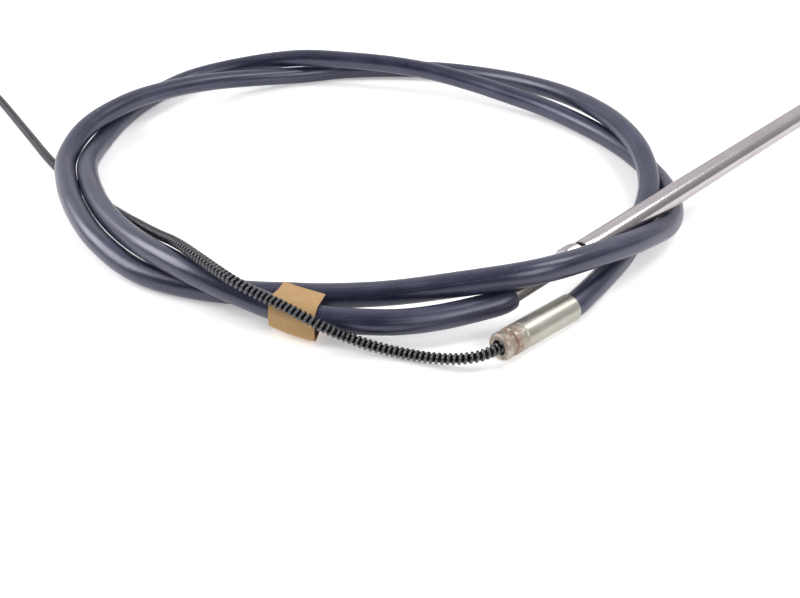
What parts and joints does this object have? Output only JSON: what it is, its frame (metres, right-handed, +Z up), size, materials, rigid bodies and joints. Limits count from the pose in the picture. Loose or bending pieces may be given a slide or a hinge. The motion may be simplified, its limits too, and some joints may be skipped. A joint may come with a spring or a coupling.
{
  "type": "boat steering cable",
  "caption": "Rotary push-pull steering cable for a small outboard boat, lying in loose turns, with a crimped helm sleeve, bare wound core and steel ram tube.",
  "frame": {"origin": "middle of the bounding box, on the floor that the cable lies on", "axes": "+Z up, +X along the longest side, from the bare core's free end towards the ram tube's eye, +Y away from the side where both jacket ends lie"},
  "size_m": [0.7988, 0.487, 0.0508],
  "materials": {
    "jacket_plastic": "satin extruded plastic",
    "core_steel": "oiled black steel wire",
    "nickel_steel": "nickel plated, lightly stained",
    "stainless_steel": "ground stainless",
    "seal_rubber": "moulded",
    "paper_tape": "kraft paper tape"
  },
  "bodies": {
    "cable": {"jacket": "jacket_plastic", "core_cable": "core_steel", "core_tip": "nickel_steel", "helm_sleeve": "nickel_steel", "guide_tube": "stainless_steel", "hex_collar": "stainless_steel", "tape_band": "paper_tape"},
    "ram": {"ram_tube": "stainless_steel", "wiper_seal": "seal_rubber"}
  },
  "joints": [
    {"name": "ram_slide", "type": "slide", "parent": "cable", "child": "ram", "axis": [0.7463, 0.662, 0.0693], "range_m": [0, 0.229]}
  ]
}
